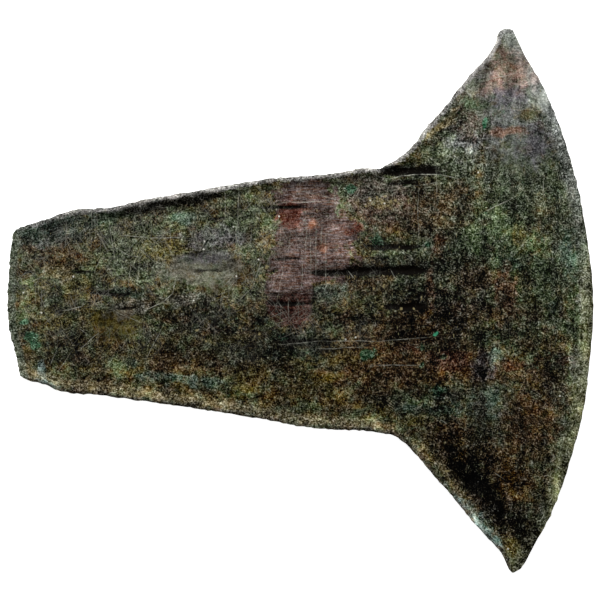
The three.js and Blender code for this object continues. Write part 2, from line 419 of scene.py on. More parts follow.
shank = 1 - rise((x - 22) / 20)
crest = RIM_CREST + CREST_UNEVENNESS * clouds(plan, 3.0, 2, 3)
rim_share = np.where(y > 0, np.interp(x, *zip(*UPPER_RIM)), np.interp(x, *zip(*LOWER_RIM)))
rim_height = RIM_HEIGHT * rim_share * (1 + RIM_UNEVENNESS * clouds(plan, 3.5, 4, 4))
rounding = RIM_ROUNDING * np.clip(1 - from_rim / RIM_CREST, 0, 1)
rim = (rim_height - rounding) * (1 - rise((from_rim - crest) / RIM_SLOPE))
trough_share = np.clip((from_rim - RIM_CREST - RIM_SLOPE / 2) / TROUGH_WIDTH, 0, 1)
trough = -TROUGH_DEPTH * np.sin(np.pi * trough_share) ** 2
hollows = -sum(
    depth * np.exp(-((x - hx) / length) ** 2 - ((y - hy) / wide) ** 2)
    for hx, hy, length, wide, depth in HOLLOWS
)
runout = rise(np.minimum(from_blade, from_butt + RIM_START) / RIM_RUNOUT)
lip = LIP_HEIGHT * (1 - rise(from_butt / LIP_WIDTH))
thickness = BUTT_THICKNESS + (BLADE_THICKNESS - BUTT_THICKNESS) * (x - low[0]) / LENGTH
tips = np.clip((np.abs(y) - TIP_LIFT_FROM) / (SPAN / 2 - TIP_LIFT_FROM), 0, 1)
butt = np.clip(1 - (x - low[0]) / BUTT_LIFT_LENGTH, 0, 1)
lift = TIP_LIFT * tips ** 2 + BUTT_LIFT * butt ** 2
print(f"rim up to {rim.max():.2f} mm, lift up to {lift.max():.2f} mm")

# %% Hammer marks, crust and creases
HAMMER_MARK = 0.10
BLADE_DENT = 0.07
CRUST = 0.05
BACK_DENT = 0.05
CREASE_WANDER = 0.3

# Creases as x, y, half length, half width and depth
CREASES = {
    "near_butt": (-65.6, 6.5, 2.2, 0.4, 0.15), "left_short": (-51.6, 6.9, 4.2, 0.3, 0.14),
    "left_long": (-45.8, 1.5, 5.0, 0.5, 0.24), "left_soft": (-42.1, -1.9, 4.0, 0.5, 0.14),
    "thin": (-22.0, 7.2, 4.6, 0.3, 0.2), "violet": (-25.6, 11.1, 4.0, 0.4, 0.18),
    "copper_top": (-4.4, 22.2, 6.4, 0.45, 0.3), "copper_middle": (-3.0, 10.0, 4.0, 0.3, 0.16),
    "copper_low": (-2.8, -0.7, 5.8, 0.4, 0.28), "copper_thin": (-5.3, 1.3, 3.2, 0.3, 0.14),
    "main_left": (8.8, 6.5, 7.4, 0.55, 0.42), "main_right": (20.4, 7.1, 10.5, 0.75, 0.5),
    "upper_right": (22.0, 12.8, 8.2, 0.6, 0.3), "neck": (26.0, 31.0, 9.0, 0.9, 0.4),
    "below_neck": (25.2, 28.2, 5.0, 0.8, 0.2), "low_right": (25.2, -1.4, 5.6, 0.7, 0.38),
    "low_left": (16.4, -1.2, 3.0, 0.4, 0.14), "green": (1.2, -9.8, 8.0, 0.7, 0.18),
    "upper_middle": (-20.0, 19.8, 2.8, 0.4, 0.16), "horn": (42.4, 38.4, 8.0, 0.6, 0.07),
}

hammering = HAMMER_MARK * shank * clouds(plan, 3.0, 2, 5, stretch=6.0)
hammering += 0.5 * HAMMER_MARK * shank * clouds(plan, 1.3, 2, 6, stretch=7.0)
hammering += BLADE_DENT * (1 - shank) * clouds(plan, 5.5, 2, 7)
crust = CRUST * clouds(plan, 1.5, 4, 8)
wander = CREASE_WANDER * clouds(plan, 9.0, 2, 9)
creases = np.zeros(count)
for crease_x, crease_y, length, wide, depth in CREASES.values():
    reach = np.clip(1 - np.abs((x - crease_x) / length) ** 3, 0, 1)
    creases -= depth * reach * np.exp(-(((y - crease_y + wander) / wide) ** 2))

detail = hammering + crust + creases
body = thickness + hollows + detail
bevelled = EDGE_THICKNESS + (body - EDGE_THICKNESS) * rise(from_blade / EDGE_BEVEL)
face = bevelled + runout * (rim + trough) + lip
back_dents = BACK_DENT * (1 + clouds(plan, 6.0, 3, 10))
top = lift + face
bottom = lift + np.where(from_edge > 0.5, back_dents, 0)
z = np.select([level == 1, level == 0], [top, bottom], lift + face / 2)
sheet.data.vertices.foreach_set("co", (np.column_stack([x, y, z]) * MM).ravel())
sheet.data.update()
print(f"face from {face.min():.2f} to {face.max():.2f} mm thick")

# %% [markdown]
# ## Marks for the patina
# Colour settles by place: darker in the troughs and creases, partly as painted shade, and pale on the
# worn edges. A shader can't measure the distance to an edge by itself, so each vertex carries those
# distances as attributes, in millimetres, with the height of its relief, the depth of its crease and
# whether it is on the face.

# %% Attributes and smooth shading
marks = {
    "from_rim": from_rim,
    "from_blade": from_blade,
    "from_butt": from_butt,
    "relief": np.where(level == 1, detail + hollows, -0.02),
    "crease": np.where(level == 1, -creases, 0),
    "face": (level == 1).astype(float),
}
for name, values in marks.items():
    mark = sheet.data.attributes.new(name, "FLOAT", "POINT")
    mark.data.foreach_set("value", values.astype(np.float32))
bpy.ops.object.select_all(action="DESELECT")
sheet.select_set(True)
bpy.context.view_layer.objects.active = sheet
bpy.ops.object.shade_smooth_by_angle(angle=math.radians(50))
print("attributes:", ", ".join(marks))

# %% [markdown]
# ## Shader maths
# A patina is mostly arithmetic on masks. Written as nodes one by one it can't be read, so a small class
# wraps a socket, and plus, minus, times and power on it add the Math nodes. Every other node comes from
# `add_node`, which takes the node's type, its settings and the values or links of its sockets.

# %% Nodes as expressions
patina = bpy.data.materials.new("mottled_copper_patina")
patina.use_nodes = True
tree = patina.node_tree


class Wire:
    """An output of a node. Arithmetic on it adds Math nodes."""

    def __init__(self, socket):
        self.socket = socket

    def __add__(self, other):
        return maths("ADD", self, other)

    __radd__ = __add__

    def __sub__(self, other):
        return maths("SUBTRACT", self, other)

    def __rsub__(self, other):
        return maths("SUBTRACT", other, self)

    def __mul__(self, other):
        return maths("MULTIPLY", self, other)

    __rmul__ = __mul__

    def __pow__(self, other):
        return maths("POWER", self, other)

    def __rpow__(self, other):
        return maths("POWER", other, self)


def add_node(kind, settings, inputs, output=0):
    """Adds a node, sets it up, fills its sockets with values or links, and gives one output."""
    made = tree.nodes.new("ShaderNode" + kind)
    for name, value in settings.items():
        setattr(made, name, value)
    for name, value in inputs.items():
        if isinstance(value, Wire):
            tree.links.new(value.socket, made.inputs[name])
        else:
            made.inputs[name].default_value = value
    return Wire(made.outputs[output])


def maths(operation, *values):
    return add_node("Math", {"operation": operation}, dict(enumerate(values)))


def vectors(operation, *values, output=0):
    return add_node("VectorMath", {"operation": operation}, dict(enumerate(values)), output)


def between(value, start, end):
    """Mask that goes smoothly from 0 at the start to 1 at the end."""
    return add_node("MapRange", {"interpolation_type": "SMOOTHSTEP"},
                    {"Value": value, "From Min": start, "From Max": end})


def mix(mask, first, second):
    """One colour laid over another where the mask is 1."""
    return add_node("Mix", {"data_type": "RGBA"}, {0: mask, 6: first, 7: second}, output=2)


def grain(place, size, detail=2.0):
    """Noise of a size in millimetres, from 0 to 1 about 0.5."""
    inputs = {"Vector": place, "Scale": 1 / size, "Detail": detail, "Roughness": 0.6}
    return add_node("TexNoise", {}, inputs)


def attribute(name):
    return add_node("Attribute", {"attribute_name": name}, {}, output=2)


def paint(red, green, blue):
    """A colour given as a screen shows it, 0 to 255, in the shader's linear values."""
    shares = [value / 255 for value in (red, green, blue)]
    linear = [s / 12.92 if s <= 0.04045 else ((s + 0.055) / 1.055) ** 2.4 for s in shares]
    return (*linear, 1.0)


# %% [markdown]
# ## Places on the sheet
# The patina reads Object coordinates in millimetres, so it stays on the metal from every side. Noise
# bends them a little before a patch or a scratch is placed, because nothing on the sheet is a clean
# ellipse or a straight line.

# %% Coordinates
objects = add_node("TexCoord", {}, {}, output=3)
where = add_node("VectorMath", {"operation": "SCALE"}, {0: objects, "Scale": 1 / MM})
elsewhere = vectors("ADD", where, (211.0, 87.0, 43.0))
farther = vectors("ADD", where, (-167.0, 309.0, 71.0))
drawn_out = vectors("MULTIPLY_ADD", where, (1 / 7, 1, 1), (31.0, 57.0, 13.0))
drawn_down = vectors("MULTIPLY_ADD", where, (1, 1 / 6, 1), (77.0, 19.0, 29.0))
place_x = vectors("DOT_PRODUCT", where, (1, 0, 0), output=1)
place_y = vectors("DOT_PRODUCT", where, (0, 1, 0), output=1)


def bent(place, size, reach):
    """The plan, moved about by noise of a size, as far as the reach. Its third part is 1."""
    swirl = add_node("TexNoise", {}, {"Vector": place, "Scale": 1 / size, "Detail": 2.0}, output=1)
    flat = vectors("MULTIPLY_ADD", where, (1, 1, 0), (-reach / 2, -reach / 2, 1))
    return vectors("MULTIPLY_ADD", swirl, (reach, reach, 0), flat)


ragged = bent(elsewhere, 4.0, 3.6)
wavy = bent(farther, 6.0, 0.9)
chipped = bent(where, 2.0, 1.6)
still = bent(where, 9.0, 0.0)


def from_spot(plan, x, y, length, width, turn):
    """Square of the distance from the middle of an ellipse, 1 on its rim."""
    cos, sin = math.cos(math.radians(turn)), math.sin(math.radians(turn))
    lengthwise = (cos / length, sin / length, -(x * cos + y * sin) / length)
    crosswise = (-sin / width, cos / width, (x * sin - y * cos) / width)
    ahead = vectors("DOT_PRODUCT", plan, lengthwise, output=1)
    aside = vectors("DOT_PRODUCT", plan, crosswise, output=1)
    return maths("MULTIPLY_ADD", aside, aside, ahead * ahead)


def nearest_spot(plan, spots):
    """Distance from the nearest of several ellipses, 1 on its rim."""
    nearest = from_spot(plan, *spots[0])
    for spot in spots[1:]:
        nearest = maths("MINIMUM", nearest, from_spot(plan, *spot))
    return maths("SQRT", nearest)


rim_distance, blade_distance = attribute("from_rim"), attribute("from_blade")
butt_distance, relief_height, on_face = attribute("from_butt"), attribute("relief"), attribute("face")
crease_depth = attribute("crease")

# %% [markdown]
# ## Ground colour
# Under everything lies a crust of copper minerals, dark olive to grey-green, with brown between. Two
# noises of different sizes mix the three colours. On the blade the crust was rubbed across the shank,
# so a third noise, drawn out that way, leaves paler and darker streaks there.

# %% Ground colour of the crust
OLIVE = paint(60, 56, 32)
GREY_GREEN = paint(82, 90, 66)
BROWN = paint(80, 60, 34)
STREAK_PALE, STREAK_DARK = paint(94, 102, 88), paint(54, 46, 28)
STREAK_SHARE = 0.45
tone = grain(where, 7.0, 3.0)
hue = grain(elsewhere, 4.2, 2.0)
warm = grain(farther, 5.0, 2.0)
ground = mix(between(hue, 0.42, 0.62), OLIVE, GREY_GREEN)
ground = mix(between(warm, 0.5, 0.66) * 0.7, ground, BROWN)
streaks = grain(drawn_down, 1.9, 2.0)
on_blade = between(place_x, 30, 46)
ground = mix(between(streaks, 0.54, 0.64) * on_blade * STREAK_SHARE, ground, STREAK_PALE)
ground = mix(between(streaks, 0.46, 0.38) * on_blade * STREAK_SHARE, ground, STREAK_DARK)

# %% [markdown]
# ## Patches
# Oxides and carbonates lie in patches: mustard, rust and brown earth, grey where the crust is worn,
# violet-grey oxides, black in the hollows, moss green and teal carbonates, a pale haze on the upper
# horn. Each finish is a colour, its strength, the softness of its edge, and a list of ellipses as x, y,
# half length, half width in millimetres and turn in degrees. Noise tears the edges of an ellipse, so
# that only its place and size are left of it.

# %% Patches of patina
PATCHES = {
    "blue_black": (paint(48, 57, 58), 0.7, 0.9, [(-60.5, 16.0, 9.0, 3.8, 12)]),
    "grey_green": (paint(86, 94, 76), 0.6, 0.9, [
        (40.5, 15.5, 14.3, 14.3, 0), (52.5, 28.7, 10.7, 11.9, -60), (63.2, 11.9, 5.3, 14.3, 0),
        (10.7, 24.4, 3.3, 3.8, 0), (-18.0, -14.3, 7.2, 3.3, -6), (35.7, 35.8, 8.4, 6.0, 45),
        (45.3, -23.9, 5.3, 8.4, 0), (62.0, -28.7, 5.7, 10.7, -20), (-0.1, 2.4, 10.7, 2.9, 0),
        (-38.3, 7.6, 7.2, 3.3, -10),
    ]),
    "haze": (paint(116, 117, 121), 0.6, 1.2, [
        (50.0, 47.0, 12.0, 13.0, 0), (55.0, 37.0, 5.0, 5.0, 0), (40.0, 40.0, 5.0, 5.0, 0),
        (61.0, 45.0, 9.0, 2.4, -57),
    ]),
    "moss": (paint(60, 76, 48), 0.65, 1.1, [
        (46.5, 15.0, 10.0, 10.0, 0), (49.0, 3.0, 7.0, 8.0, 0), (31.0, -24.0, 6.0, 5.0, 0),
        (57.0, 6.0, 4.0, 8.0, 0), (66.0, -4.0, 2.6, 22.0, 0), (47.0, -8.0, 6.0, 5.0, 0),
        (41.5, 47.0, 2.6, 2.0, 0), (36.0, -24.5, 3.8, 4.3, 0),
    ]),
    "rust": (paint(92, 58, 26), 0.7, 1.0, [
        (24.0, -14.0, 13.0, 6.0, 0), (33.0, -4.0, 8.0, 4.0, 0), (57.0, -26.0, 5.0, 9.0, 0),
        (42.0, -16.0, 8.0, 4.0, 0), (30.0, -17.0, 10.0, 4.0, 0), (36.0, -36.5, 6.0, 3.0, -50),
        (48.5, -41.0, 4.0, 8.0, 40), (36.0, -30.5, 4.0, 2.6, 0),
    ]),
    "brown": (paint(78, 58, 38), 0.75, 0.8, [
        (-58.5, 10.5, 8.0, 3.0, 0), (-66.0, 6.4, 2.1, 1.0, 0), (28.6, 21.5, 11.9, 5.3, 0),
        (33.4, 13.1, 1.9, 3.3, 0), (41.7, 4.8, 5.7, 4.3, 0), (46.5, -2.9, 9.6, 2.4, 0),
        (-27.8, -14.8, 11.0, 2.9, -4), (19.0, -14.3, 14.3, 6.2, 0), (23.8, -7.2, 14.3, 5.3, 0),
        (35.3, -30.6, 4.3, 2.9, 0), (53.7, -28.7, 6.2, 8.1, -10), (37.2, 25.8, 5.7, 2.4, 0),
        (9.5, 3.6, 10.7, 2.4, 0), (22.0, 20.5, 11.0, 4.5, 0),
    ]),
    "mustard": (paint(86, 75, 36), 0.65, 0.9, [
        (-44.2, -5.3, 7.6, 4.3, 0), (-38.3, -11.7, 3.3, 2.1, 0), (-54.0, 3.3, 2.9, 2.9, 0),
        (-33.0, 11.9, 5.7, 2.9, 0), (-12.0, -17.9, 4.1, 2.9, 0), (4.5, -18.6, 2.6, 1.4, 0),
        (51.7, 15.3, 1.7, 2.9, 0), (50.6, -59.2, 2.6, 2.6, 0), (54.8, 44.4, 2.6, 1.9, 0),
        (53.9, 36.3, 1.4, 1.4, 0), (-57.4, -4.8, 3.3, 1.9, 0), (-0.1, -10.7, 8.6, 1.9, 4),
        (7.1, -13.8, 9.6, 1.9, 0), (27.4, -28.7, 4.8, 1.4, 0),
    ]),
    "worn_grey": (paint(112, 110, 100), 0.75, 0.6, [
        (-23.2, 7.6, 9.6, 4.1, 0), (-26.3, 0.0, 6.2, 1.7, 0), (-41.1, -1.9, 5.3, 2.1, 10),
        (18.0, 26.0, 6.0, 3.2, 0),
    ]),
    "pink_brown": (paint(82, 68, 62), 0.7, 1.0, [
        (19.5, 23.0, 7.5, 5.0, 0), (14.0, 27.5, 3.0, 2.0, 0),
    ]),
    "rose": (paint(126, 98, 86), 0.6, 1.3, [
        (51.0, 55.5, 5.5, 4.2, -20), (47.0, 51.6, 4.6, 2.2, 10), (40.0, 42.0, 2.6, 3.0, 0),
        (54.5, 53.5, 3.0, 2.0, -50),
    ]),
    # The pale teal strip on the lower horn is its colour and painted light on the rim's lit slope
    "pale_teal": (paint(116, 132, 128), 0.85, 0.6, [
        (41.8, -52.0, 8.6, 1.4, -48), (-62.0, -17.5, 1.2, 2.6, 10),
    ]),
    "violet_grey": (paint(82, 80, 84), 0.75, 0.9, [
        (-19.7, 14.8, 6.7, 2.9, 0), (-22.8, 10.0, 5.7, 1.9, 0), (49.4, 48.7, 3.8, 2.9, 0),
        (55.8, 37.3, 3.3, 4.3, 0), (43.6, -15.8, 2.9, 2.9, 0), (-61.7, 13.6, 1.9, 1.2, 0),
    ]),
    "teal": (paint(82, 102, 92), 0.6, 0.9, [
        (-28.0, 19.8, 3.1, 1.4, 0), (-61.0, 18.6, 6.2, 1.9, 12), (-58.6, -20.1, 2.4, 1.0, -14),
        (6.4, 2.4, 4.3, 1.9, 0), (43.4, -53.2, 6.7, 1.1, -48), (57.7, -51.3, 1.4, 2.4, -20),
        (27.4, -26.0, 4.8, 1.2, 0), (46.3, -12.4, 1.9, 2.4, 0), (64.9, 11.2, 3.3, 4.8, 0),
        (-28.7, -19.1, 9.6, 1.2, -5), (44.6, -24.6, 3.3, 4.3, 0),
    ]),
    "dark_green": (paint(46, 60, 48), 0.8, 0.8, [
        (-9.1, -5.3, 1.4, 1.2, 0), (-2.0, -11.0, 8.1, 3.3, 0), (-39.9, -15.3, 1.4, 1.0, 0),
        (50.1, 8.6, 2.6, 1.9, 0), (59.9, -1.9, 1.4, 1.4, 0), (-41.6, 1.9, 4.8, 1.2, 0),
        (35.3, -24.4, 3.8, 4.3, 0), (44.3, 41.8, 1.4, 1.7, 0), (-47.8, 20.3, 8.1, 1.9, 14),
    ]),
    "black": (paint(30, 26, 16), 0.85, 0.7, [
        (-51.9, -14.3, 4.8, 2.4, 0), (-29.9, 22.9, 12.4, 1.9, 13), (36.9, -2.9, 6.2, 4.3, 0),
        (26.2, 31.0, 8.6, 1.4, 0), (42.4, -45.4, 11.0, 2.6, -45), (35.3, 41.1, 7.2, 1.4, 40),
        (-22.8, -4.3, 11.0, 3.8, 0), (21.9, 9.1, 8.1, 1.9, 0), (47.7, -7.2, 3.3, 2.4, 0),
        (57.2, -19.1, 4.3, 5.3, 0), (31.0, 0.0, 6.2, 2.4, 0), (11.9, -4.3, 7.2, 1.9, 0),
    ]),
    "red_brown": (paint(88, 58, 42), 0.75, 0.8, [
        (32.9, 13.6, 1.4, 2.9, 0), (35.7, -14.8, 4.8, 3.3, 0), (50.6, -15.3, 2.4, 1.4, 0),
        (63.9, -14.8, 2.9, 1.2, 0), (26.4, -11.9, 1.9, 1.7, 0),
        (48.9, 2.4, 2.4, 4.8, 0), (31.0, 4.0, 0.9, 6.0, 0),
    ]),
    "tan": (paint(128, 116, 86), 0.75, 0.9, [
        (-65.3, -14.3, 1.0, 2.4, 10), (-41.9, -21.0, 1.4, 0.7, 0), (-39.7, -21.3, 0.7, 0.5, 0),
        (-37.1, -21.3, 1.4, 0.7, 0), (-26.3, -23.4, 2.9, 0.7, -6), (19.5, 23.2, 3.3, 1.4, 0),
        (34.0, 42.2, 4.2, 0.9, 45), (30.0, -34.9, 2.1, 2.9, -45), (35.5, -41.0, 8.0, 1.6, -51),
        (-49.0, -20.1, 8.1, 1.0, -9), (-57.4, 6.7, 3.3, 1.9, 0),
    ]),
    "pale_margin": (paint(126, 128, 116), 0.7, 0.6, [
        (67.5, 1.0, 1.4, 6.2, 0), (66.8, -16.5, 2.4, 5.3, 12), (58.4, 48.7, 2.1, 3.3, -60),
        (49.6, 62.6, 2.4, 2.1, 0), (39.3, 51.6, 2.9, 2.4, 40),
    ]),
}
TEAR = 2.4

torn = (grain(elsewhere, 2.2, 3.0) - 0.5) * TEAR
colour = ground
for finish, (tint, strength, softness, spots) in PATCHES.items():
    distance = nearest_spot(ragged, spots) + torn
    mask = between(distance, 1 + softness / 2, 1 - softness / 2) * on_face * strength
    colour = mix(mask, colour, tint)
print("patches:", sum(len(row[3]) for row in PATCHES.values()), "in", len(PATCHES), "finishes")

# %% [markdown]
# ## Mottle
# Between the named patches the crust is mottled at two to three millimetres, and no two spots of it are
# alike. Each row is a colour that shows where its own noise is high. Brown earth is commoner on the
# lower side of the sheet and grey-green crust on the upper one, so a slow change shifts the bounds.

# %% Mottle
MOTTLE = [
    (paint(88, 76, 40), farther, 2.3, 0.60, 0.5, 0.10),
    (paint(84, 60, 44), elsewhere, 2.9, 0.60, 0.45, 0.10),
    (paint(60, 74, 56), where, 2.6, 0.58, 0.5, -0.05),
    (paint(98, 104, 90), farther, 1.7, 0.62, 0.45, -0.12),
    (paint(26, 24, 16), where, 1.9, 0.58, 0.7, 0.06),
]
MOTTLE_EDGE = 0.05
MOTTLE_SHARE = 0.7
earthy = between(place_y + (hue - 0.5) * 60, 24, -22) - 0.5
for tint, place, size, bound, strength, shift in MOTTLE:
    field = grain(place, size, 2.5) + earthy * shift
    mask = between(field, bound - MOTTLE_EDGE, bound + MOTTLE_EDGE) * strength * MOTTLE_SHARE
    colour = mix(mask, colour, tint)

# %% [markdown]
# ## Bare copper
# In the middle of the shank the crust has come off, and copper shows with a red oxide in it. Its edges
# are sharper than those of the earth patches, because a crust breaks off in flakes. It gets thin lines
# along the shank, which are the fibre of the hammered metal, and a few orange spots.

# %% Bare copper
COPPER, COPPER_FIBRE = paint(102, 91, 91), paint(86, 64, 58)
COPPER_SPOTS = [
    (1.4, 24.0, 7.4, 5.4, 0), (4.2, 16.5, 10.2, 4.8, 0), (2.6, 9.5, 10.4, 5.4, 0),
    (-2.6, 1.2, 5.6, 7.6, 8),
]
CUPRITE = paint(92, 54, 44)
CUPRITE_SPOTS = [
    (-2.7, 20.3, 2.6, 3.2, 0), (13.3, 17.0, 2.2, 1.2, 0), (-2.7, -2.9, 4.6, 3.4, 0),
    (-1.0, 0.0, 5.0, 1.8, 0), (56.0, 53.7, 1.4, 1.4, 0),
]
ORANGE = paint(136, 96, 76)
ORANGE_SPOTS = [
    (3.0, 18.4, 1.2, 1.4, 0), (5.2, 12.4, 1.1, 0.8, 0), (53.0, 56.0, 2.6, 1.8, -40),
    (49.1, 40.4, 4.1, 1.3, 0), (36.2, -13.8, 3.0, 2.0, 0),
]

fibre = grain(drawn_out, 0.35, 2.0)
copper_mask = between(nearest_spot(chipped, COPPER_SPOTS) + torn * 0.5, 1.12, 0.9) * on_face
copper_tint = mix(between(fibre, 0.4, 0.6), COPPER_FIBRE, COPPER)
colour = mix(copper_mask * 0.85, colour, copper_tint)
cuprite_mask = between(nearest_spot(ragged, CUPRITE_SPOTS) + torn, 1.3, 0.6) * on_face
colour = mix(cuprite_mask * 0.68, colour, CUPRITE)
orange_mask = between(nearest_spot(ragged, ORANGE_SPOTS) + torn, 1.5, 0.5) * on_face
colour = mix(orange_mask * 0.5, colour, ORANGE)

# %% Green spots
MALACHITE = paint(54, 104, 78)
GREEN_SPOTS = [
    (-64.1, -9.1, 1.9, 1.9, 0), (-65.7, -5.0, 1.0, 0.7, 0), (18.3, 14.3, 1.4, 1.7, 0),
    (30.5, 13.4, 0.7, 0.7, 0), (15.9, -12.7, 2.3, 1.6, 25), (32.1, -8.0, 0.5, 0.5, 0),
    (29.1, -11.0, 0.7, 0.9, 0), (29.1, -15.3, 0.6, 0.8, 0), (34.0, -13.4, 0.9, 0.6, 0),
    (32.9, -21.3, 1.7, 1.4, 0), (-4.1, -9.1, 1.0, 1.0, 0), (11.9, 26.7, 1.4, 1.1, 0),
    (43.6, 42.3, 0.7, 1.2, 0),
]
green_mask = between(nearest_spot(wavy, GREEN_SPOTS) + torn * 1.4, 1.25, 0.6) * on_face
green_dust = between(grain(farther, 0.9), 0.64, 0.72) * between(grain(elsewhere, 9.0), 0.42, 0.6)
colour = mix(maths("MAXIMUM", green_mask * 0.6, green_dust * 0.35), colour, MALACHITE)

# %% [markdown]
# ## Margins
# Along the upper sides the crest of the rim is rubbed to a pale grey, with a painted highlight on it,
# and a painted shadow lies black at its foot, most of all in one stretch near the butt. Along the lower
# sides the foot carries pale earth and painted light instead.
# The blade margin is smoother and paler, yellowish below and greyer on the upper horn, and so is the
# lip of the butt.

# %% Margins of the sheet
RIM_WEAR_AND_HIGHLIGHT = paint(134, 132, 130)
RIM_FOOT_SHADOW = paint(26, 25, 19)
RIM_EARTH_AND_LIGHT = paint(112, 104, 84)
MARGIN_YELLOW, MARGIN_GREY = paint(110, 112, 88), paint(112, 115, 113)
BUTT_GREY = paint(98, 106, 94)
# The stretch where the painted shadow at the upper rim's foot is darkest
BLACKEST_FOOT = (-31.0, 24.5, 14.0, 5.0, 13)
FOOT_ELSEWHERE = 0.3

uneven = grain(farther, 2.2, 3.0)
upper_side = between(place_y, -6, 6)
rim_step = rim_distance + (uneven - 0.5) * 2.0 + (grain(where, 0.7) - 0.5) * 1.6
crest_mask = between(rim_step, 1.4, 0.7)
foot_mask = between(rim_step, 0.8, 1.4) * between(rim_step, 3.4, 2.2)
black_foot = maths("MAXIMUM", between(nearest_spot(still, [BLACKEST_FOOT]), 1.2, 0.7), FOOT_ELSEWHERE)
rim_shadow_above = foot_mask * upper_side * on_face * between(place_x, 26, 18) * black_foot
# Painted shadow: black at the foot of the upper rim, on the inner slope that faces away from the lamp
colour = mix(rim_shadow_above, colour, RIM_FOOT_SHADOW)
# Pale earth and painted light on the lower rim's inner slope, which faces the lamp
earth_and_light_below = foot_mask * (1 - upper_side) * on_face * between(place_x, 30, 10) * 0.5
colour = mix(earth_and_light_below, colour, RIM_EARTH_AND_LIGHT)
# The crest's worn grey, with a painted highlight that is stronger on the upper side, which faces the
# lamp
colour = mix(crest_mask * (0.15 + 0.65 * upper_side) * on_face, colour, RIM_WEAR_AND_HIGHLIGHT)
blade_mask = between(blade_distance + (uneven - 0.5) * 4, 4.2, 1.8)
margin_tint = mix(between(place_y, -2, 30), MARGIN_YELLOW, MARGIN_GREY)
colour = mix(blade_mask * on_face * 0.6, colour, margin_tint)
butt_mask = between(butt_distance + (uneven - 0.5) * 1.5, 2.3, 1.5)
colour = mix(butt_mask * on_face * 0.6, colour, BUTT_GREY)

# %% [markdown]
# ## Scratches
# Cleaning and handling left pale scratches. The long ones have their own places, as thin ellipses that
# run out at both ends, and noise breaks them up. The many hairlines come from noise drawn out very long
# in five directions, and the felt of short fibres in the crust from four more. Single bright specks and
# a few crumbs of earth sit where the photograph shows them. These are only masks here: their colours
# go on last, over the grain, because a scratch cuts through everything else.

# %% Scratches
BRIGHT_SCRATCHES = [
    (17.6, 31.6, 18.0, 29.5), (18.0, 29.5, 21.4, 29.0), (21.4, 29.0, 24.0, 29.9),
    (24.0, 29.9, 28.3, 30.3), (28.3, 30.3, 33.4, 30.1), (33.4, 30.1, 37.7, 29.1),
    (-42.8, 15.5, -36.4, 15.0), (-36.4, 15.0, -27.5, 14.9), (-44.7, 13.1, -40.9, 10.7),
    (-40.9, 10.7, -38.3, 10.5), (-29.9, 5.3, -30.6, 1.7), (-30.6, 1.7, -33.0, -0.5),
    (-33.0, -0.5, -36.8, -2.1), (-4.8, 23.3, 8.0, 23.6), (44.3, 21.3, 50.8, 24.6),
    (43.9, 52.5, 51.3, 54.4), (-51.6, -0.2, -52.1, -1.4), (-52.1, -1.4, -57.1, -2.4),
]
FAINT_SCRATCHES = [
    (-4.8, -10.7, 4.7, -9.6), (4.7, -9.6, 18.1, -9.6), (18.1, -9.6, 30.3, -8.8),
    (16.4, -15.5, 27.9, -15.4), (2.4, 15.8, 2.4, 4.8), (1.2, 20.0, 1.3, 8.0), (3.6, 18.0, 3.6, 6.0),
    (5.9, 16.0, 6.0, 3.0), (-3.4, 12.0, -5.6, 1.0), (7.4, 14.0, 10.8, 8.6), (-14.8, 28.0, -14.9, 14.0),
    (-42.1, 9.6, -38.8, 7.2), (-38.8, 7.2, -39.0, 2.9), (-52.8, -6.7, -50.7, -8.4),
    (-58.1, -11.7, -59.8, -15.3), (-42.6, -11.5, -41.6, -9.1), (-18.0, 26.5, -18.0, 19.1),
    (-14.2, 19.1, -15.8, 16.2), (-34.7, 22.4, -31.4, 22.0), (22.9, 27.1, 28.3, 27.6),
    (28.3, 27.6, 33.8, 28.4), (3.5, -11.5, 15.0, -11.0), (0.3, 12.7, 0.3, 3.3), (4.9, 17.7, 4.9, 13.6),
    (-1.3, 14.6, -3.4, 11.9), (-5.3, 6.4, -7.5, 1.7), (11.2, 7.2, 12.6, 5.3), (21.4, 7.6, 22.9, 5.0),
    (35.5, 37.7, 35.7, 33.9), (39.6, 33.9, 39.6, 29.8), (58.0, 29.8, 58.0, 23.9),
    (46.5, -41.1, 48.6, -42.7), (-48.8, 21.5, -48.5, 16.2), (-47.8, 10.0, -49.3, 6.7),
    (-40.7, 9.1, -40.9, 3.3), (7.8, 27.0, 8.5, 20.5), (-2.5, 26.7, 9.5, 23.9),
    (-22.8, 14.1, -24.0, 11.9), (-15.4, 6.7, -18.0, 3.8), (-44.2, -2.9, -38.3, -5.3),
    (-49.9, 23.5, -49.9, 17.0), (-46.0, 20.0, -44.6, 10.0), (-53.0, -12.0, -48.0, -7.5),
    (-62.0, 2.0, -55.0, 5.5), (-37.0, -14.0, -33.0, -6.0), (-12.0, 2.0, -8.5, 12.0),
    (-58.0, -17.0, -54.5, -12.0), (32.5, 32.0, 32.6, 24.0), (28.0, 26.0, 28.1, 14.0),
]
BRIGHT_WIDTH, FAINT_WIDTH, FAINT_SHARE = 0.11, 0.09, 0.6
SPECKS = [
    (-54.3, 5.7), (-66.2, 1.9), (-61.9, -2.9), (-16.1, 17.6), (-23.0, 14.1), (-23.2, 12.2),
    (-15.4, 5.8), (-10.1, 9.8), (-25.6, 0.0), (-5.2, 20.1), (61.9, -22.8), (49.4, -59.2), (20.0, 23.2),
    (16.6, 23.9), (42.4, 30.6), (10.7, -9.3), (13.1, -8.8),
]
SPECK_SIZE = 0.24
SCRATCH_PALE = paint(168, 168, 156)
SPECK_PALE = paint(205, 205, 195)
